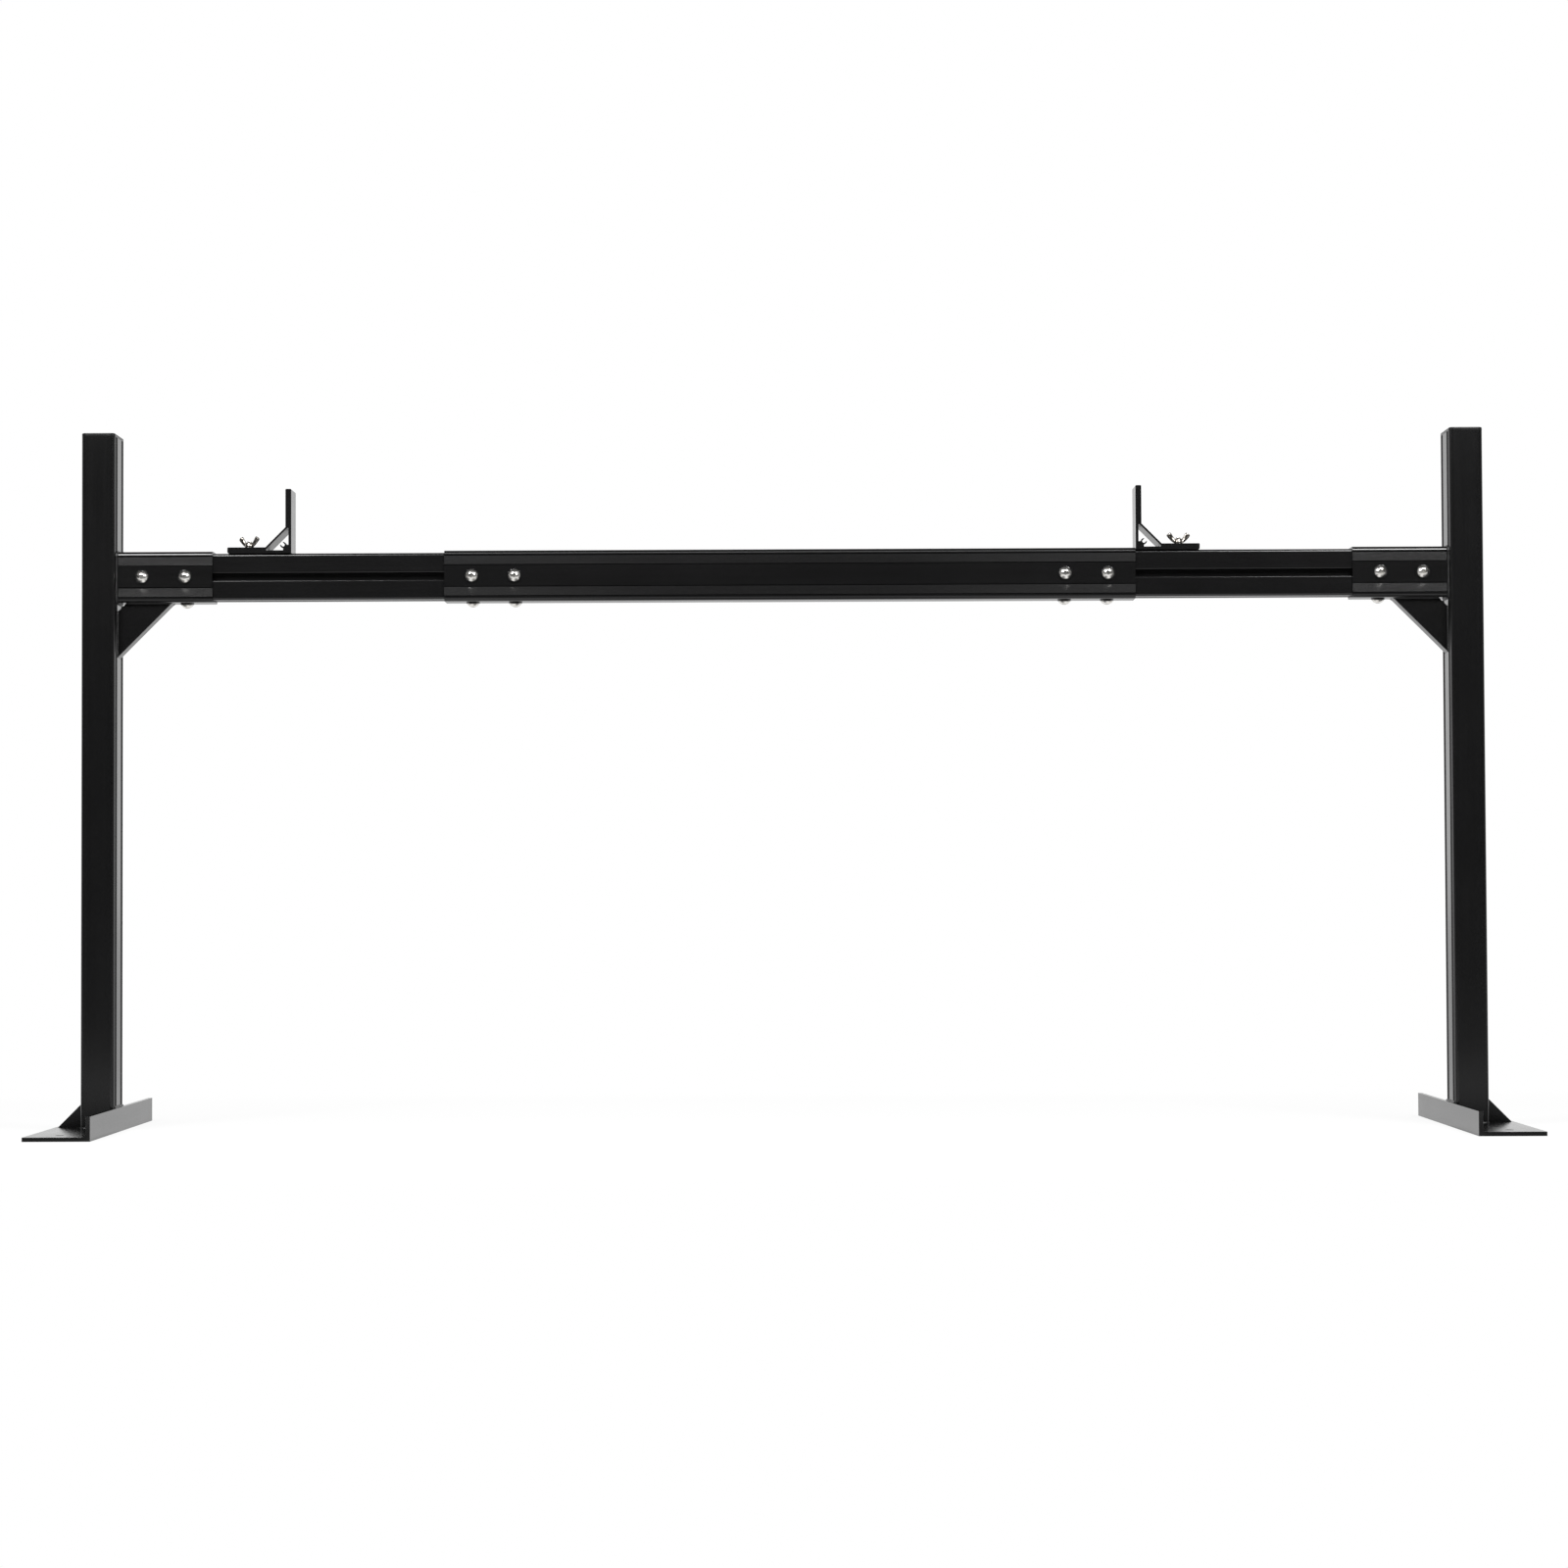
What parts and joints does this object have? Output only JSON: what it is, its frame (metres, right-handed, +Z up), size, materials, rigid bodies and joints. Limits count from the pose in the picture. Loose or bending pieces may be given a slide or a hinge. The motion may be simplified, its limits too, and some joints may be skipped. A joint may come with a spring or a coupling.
{
  "type": "ladder rack",
  "caption": "Adjustable pickup-bed ladder rack: ribbed uprights on angle feet carry a telescoping, slotted crossbar with sliding load stops clamped by wing nuts.",
  "frame": {"origin": "On the surface that the feet stand on, midway between the two feet and on the crossbar's centre line.", "axes": "+X along the crossbar to the right, +Y to the back (the bolt heads face the front, -Y), +Z up."},
  "size_m": [1.74, 0.406, 0.834],
  "materials": {
    "black_aluminium": "satin black coating on extruded aluminium",
    "zinc_steel": "bright zinc plate",
    "black_plastic": "fine-grained moulded black"
  },
  "bodies": {
    "centre_assembly": {"centre_sleeve": "black_aluminium", "centre_bolts": "zinc_steel", "centre_washers": "zinc_steel", "centre_nuts": "zinc_steel"},
    "left_arm": {"left_upright": "black_aluminium", "left_top_cap": "black_plastic", "left_foot": "black_aluminium", "left_foot_gusset": "black_aluminium", "left_socket": "black_aluminium", "left_brace": "black_aluminium", "left_bar": "black_aluminium", "left_socket_bolts": "zinc_steel", "left_socket_washers": "zinc_steel", "left_socket_nuts": "zinc_steel"},
    "right_arm": {"right_upright": "black_aluminium", "right_top_cap": "black_plastic", "right_foot": "black_aluminium", "right_foot_gusset": "black_aluminium", "right_socket": "black_aluminium", "right_brace": "black_aluminium", "right_bar": "black_aluminium", "right_socket_bolts": "zinc_steel", "right_socket_washers": "zinc_steel", "right_socket_nuts": "zinc_steel"},
    "left_stop_assembly": {"left_stop": "black_aluminium", "left_stop_bolt": "zinc_steel", "left_stop_washer": "zinc_steel"},
    "right_stop_assembly": {"right_stop": "black_aluminium", "right_stop_bolt": "zinc_steel", "right_stop_washer": "zinc_steel"},
    "left_clamp_nut": {"left_wing_nut": "zinc_steel"},
    "right_clamp_nut": {"right_wing_nut": "zinc_steel"}
  },
  "joints": [
    {"name": "left_arm_slide", "type": "slide", "parent": "centre_assembly", "child": "left_arm", "axis": [-1, 0, 0], "range_m": [-0.08, 0.065]},
    {"name": "right_arm_slide", "type": "slide", "parent": "centre_assembly", "child": "right_arm", "axis": [1, 0, 0], "range_m": [0, 0.065]},
    {"name": "left_stop_slide", "type": "slide", "parent": "left_arm", "child": "left_stop_assembly", "axis": [1, 0, 0], "range_m": [-0.016, 0.1]},
    {"name": "right_stop_slide", "type": "slide", "parent": "right_arm", "child": "right_stop_assembly", "axis": [1, 0, 0], "range_m": [0, 0.18]},
    {"name": "left_nut_turn", "type": "hinge", "parent": "left_stop_assembly", "child": "left_clamp_nut", "pos_m": [-0.6405, 0, 0.7055], "axis": [0, 0, 1], "continuous": true},
    {"name": "right_nut_turn", "type": "hinge", "parent": "right_stop_assembly", "child": "right_clamp_nut", "pos_m": [0.476, 0, 0.7055], "axis": [0, 0, 1], "continuous": true}
  ]
}
